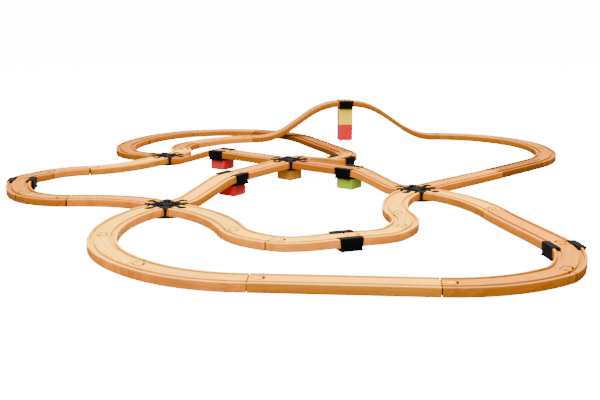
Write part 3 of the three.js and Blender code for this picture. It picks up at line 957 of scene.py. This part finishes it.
def wood():
    n = Nodes("track_wood")
    side, groove, edge, seam_and_pocket_shade = wood_regions(n)
    fibres, rings, flecks, patches = wood_figure(n)
    top_tone = n.attribute("top_tone")
    shaded_side_tone = n.attribute("shaded_side_tone")
    # the groove tone is a darker mix of the wood: part dirt, part painted shade inside the groove
    groove_dirt_and_shade_tone = n.times(n.mix(0.35, top_tone, shaded_side_tone), (0.30, 0.22, 0.16))
    # the seam tone is near-black painted shade for the gaps between pieces and the socket pockets
    seam_and_pocket_shade_tone = n.times(shaded_side_tone, (0.07, 0.05, 0.04))
    # the sides take the darker side tone: painted shade on faces the overhead light reaches less
    tone = n.mix(side, top_tone, shaded_side_tone)
    tone = n.mix(n.math("MULTIPLY", groove, 0.85), tone, groove_dirt_and_shade_tone)
    tone = n.mix(n.between(fibres, 0.35, 0.68), n.times(tone, (0.80, 0.72, 0.62)), tone)
    ring_share = n.math("MULTIPLY", n.between(rings, 0.55, 1.0), 0.45)
    tone = n.mix(ring_share, tone, n.times(tone, (0.78, 0.66, 0.52)))
    tone = n.mix(n.math("MULTIPLY", flecks, 0.5), tone, n.times(tone, (0.62, 0.48, 0.36)))
    patch_share = n.between(patches, 0.35, 0.7, 0.0, 0.5)
    tone = n.mix(patch_share, tone, n.times(tone, (1.10, 1.06, 1.00)))
    tone = n.mix(n.math("MULTIPLY", edge, 0.12), tone, n.mix(0.5, tone, (0.95, 0.80, 0.55, 1)))
    # paints the shade at the seams and in the socket pockets
    tone = n.mix(n.math("MULTIPLY", seam_and_pocket_shade, 0.92), tone, seam_and_pocket_shade_tone)
    n.set(Base_Color=tone, Roughness=n.between(fibres, 0.2, 0.8, 0.72, 0.55))
    n.set(IOR=1.4, Specular_IOR_Level=0.07)
    relief = n.math("ADD", n.math("MULTIPLY", fibres, 0.7), n.math("MULTIPLY", flecks, -0.5))
    n.bump(relief, 0.35, 0.00012)
    return n.material


def black_plastic():
    n = Nodes("black_plastic")
    place_here = n.here()
    cloud = n.noise(place_here, 60.0, 3.0)
    fine = n.noise(place_here, 1400.0, 2.0)
    worn = n.between(n.pointiness(), 0.53, 0.62)
    tone = n.mix(cloud, (0.0010, 0.0010, 0.0011, 1), (0.0022, 0.0022, 0.0024, 1))
    tone = n.mix(n.math("MULTIPLY", worn, 0.5), tone, (0.010, 0.010, 0.0105, 1))
    n.set(Base_Color=tone, Roughness=n.between(cloud, 0.3, 0.7, 0.34, 0.50), IOR=1.4)
    n.set(Specular_IOR_Level=0.06)
    n.bump(fine, 0.25, 0.00006)
    return n.material


def brick_plastic(name, colour):
    n = Nodes(name)
    place_here = n.here()
    cloud = n.noise(place_here, 45.0, 2.0)
    scratches = n.between(n.noise(n.stretch(place_here, (90.0, 2600.0, 700.0)), 1.0, 1.0), 0.66, 0.74)
    light = tuple(min(1.0, c * 1.05) for c in colour)
    deep = tuple(c * 0.92 for c in colour)
    tone = n.mix(cloud, (*deep, 1), (*light, 1))
    worn = n.math("MULTIPLY", n.between(n.pointiness(), 0.53, 0.62), 0.25)
    tone = n.mix(worn, tone, (*(0.8 * c + 0.08 for c in colour), 1))
    rough = n.math("ADD", n.between(cloud, 0.3, 0.7, 0.16, 0.24), n.math("MULTIPLY", scratches, 0.12))
    n.set(Base_Color=tone, Roughness=rough, IOR=1.5, Specular_IOR_Level=0.16)
    relief = n.math("ADD", n.noise(place_here, 320.0, 1.0), n.math("MULTIPLY", scratches, -0.6))
    n.bump(relief, 0.05, 0.00005)
    return n.material


def pale_floor():
    n = Nodes("pale_floor")
    patches = n.noise(n.here(), 1.4, 2.0)
    n.set(Base_Color=n.mix(patches, (0.90, 0.90, 0.89, 1), (0.94, 0.94, 0.93, 1)), Roughness=0.6)
    n.set(Emission_Color=(1.0, 1.0, 1.0, 1.0), Emission_Strength=FLOOR_GLOW)
    return n.material


# ---- finished pieces, each riding its own body ----
def finish_piece(made, node, material):
    made.data.materials.clear()
    made.data.materials.append(material)
    made.data.polygons.foreach_set("material_index", [0] * len(made.data.polygons))
    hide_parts(node)
    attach(made, node if node in frame["bodies"] else "railway")


def build_track(material):
    for run in RUNS:
        group = []
        for laid in laid_pieces(run):
            group.append(laid)
            if laid["onto_next"]:
                continue
            kinds = "_and_".join(one["piece"]["kind"] for one in group)
            node = f"{run[0]}_{group[0]['number']}_{kinds}"
            made = track_piece(node + "_wood", group[0])
            for other in group[1:]:
                merged(made, track_piece(node + "_end", other))
            finish_piece(made, node, material)
            group = []


def build_saddles(black, bricks):
    for run in RUNS:
        laid = laid_pieces(run)
        for before, after in zip(laid, laid[1:]):
            name = before["saddle"]
            if not name:
                continue
            made = saddle_body(f"saddle_{name}_plastic", before, after)
            finish_piece(made, f"saddle_{name}", black)
            x, y, _ = before["end"]
            build_bricks(name, x, y, (before["end"][2] + after["start"][2]) / 2, bricks)


def build_bricks(name, x, y, heading, bricks):
    stack = []
    if name in BRICKS:
        stack = [(BRICKS[name], name, 0.0, BRICK_TALL)]
    if name == "tower":
        stack = [("red", name, 0.0, TOWER_BRICK), ("yellow", name, TOWER_BRICK + GAP, TOWER_BRICK)]
    for colour, place_name, z, tall in stack:
        node = f"brick_{colour}_{place_name}"
        made = brick(node + "_plastic", x, y, heading, z, tall)
        finish_piece(made, node, bricks[colour])


def build_crossings(black, bricks):
    for key, (x, y, turn, level) in CROSSINGS.items():
        made = crossing(f"crossing_{key}_plastic", key)
        finish_piece(made, f"crossing_{key}", black)
        if level == ON_BRICK:
            made = brick("brick_mustard_middle_plastic", x, y, turn, 0.0, BRICK_TALL)
            finish_piece(made, "brick_mustard_middle", bricks["mustard"])


def studio():
    plan = rectangle(-FLOOR_HALF, FLOOR_HALF, -FLOOR_HALF, FLOOR_HALF)
    floor = prism("floor", plan, -0.02, 0.0)
    for v in floor.data.vertices:
        v.co = (v.co.x / MM, v.co.y / MM, v.co.z / MM + cad_low.z - FLOOR_DROP)
    floor.data.materials.append(pale_floor())
    floor.visible_diffuse = False
    floor.visible_glossy = False
    soft_light("front_light", (-0.6, -2.6, 1.9), 2.4, 200.0, (1.0, 0.985, 0.96))
    soft_light("top_light", (0.3, 0.5, 2.6), 3.0, 460.0, (1.0, 0.99, 0.98))
    world = bpy.data.worlds.new("studio")
    bpy.context.scene.world = world
    world.use_nodes = True
    world.node_tree.nodes["Background"].inputs["Color"].default_value = (1.0, 1.0, 1.0, 1.0)
    world.node_tree.nodes["Background"].inputs["Strength"].default_value = WORLD_LIGHT


def soft_light(name, place_at, size, power, colour):
    data = bpy.data.lights.new(name, "AREA")
    data.shape = "SQUARE"
    data.size = size
    data.energy = power
    data.color = colour
    light = bpy.data.objects.new(name, data)
    light.location = place_at
    light.rotation_euler = (-Vector(place_at)).to_track_quat("-Z", "Y").to_euler()
    bpy.context.scene.collection.objects.link(light)


def camera():
    data = bpy.data.cameras.new("camera")
    data.sensor_width = 36.0
    data.lens = LENS
    made = bpy.data.objects.new("camera", data)
    made.location = CAMERA_PLACE
    made.rotation_euler = (math.radians(90 - CAMERA_DIP), 0.0, 0.0)
    bpy.context.scene.collection.objects.link(made)
    bpy.context.scene.camera = made


def build():
    black = black_plastic()
    bricks = {
        "red": brick_plastic("red_plastic", (0.62, 0.0, 0.0)),
        "lime": brick_plastic("lime_plastic", (0.27, 0.42, 0.0)),
        "mustard": brick_plastic("mustard_plastic", (0.66, 0.23, 0.0)),
        "yellow": brick_plastic("yellow_plastic", (0.98, 0.62, 0.0)),
    }
    build_crossings(black, bricks)
    build_saddles(black, bricks)
    build_track(wood())
    studio()
    camera()


build()
bpy.context.view_layer.update()
